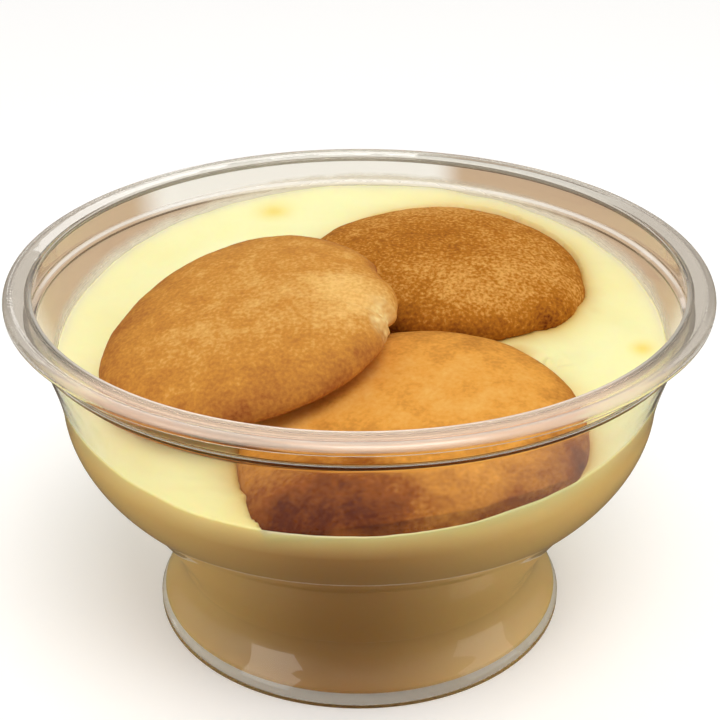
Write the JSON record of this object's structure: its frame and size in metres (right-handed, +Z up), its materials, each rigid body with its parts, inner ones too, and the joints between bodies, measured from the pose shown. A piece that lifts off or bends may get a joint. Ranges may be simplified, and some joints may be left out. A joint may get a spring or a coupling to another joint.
{
  "type": "banana pudding in a clear cup",
  "caption": "Banana pudding with domed vanilla wafers in a clear plastic footed dessert cup.",
  "frame": {"origin": "middle of the foot, on the surface the cup stands on", "axes": "+Z up, -Y towards the viewer, where the pudding is lowest, +X to the viewer's right"},
  "size_m": [0.096, 0.096, 0.0528],
  "materials": {
    "cup_plastic": "clear thermoformed PET, glossy",
    "pudding_cream": "soft satin pudding cream, a food",
    "wafer_crust": "baked biscuit crust, matt with a fine sugary grain, a food"
  },
  "bodies": {
    "root": {"cup": "cup_plastic", "pudding": "pudding_cream", "wafer_left": "wafer_crust", "wafer_back": "wafer_crust", "wafer_front": "wafer_crust"}
  },
  "joints": []
}
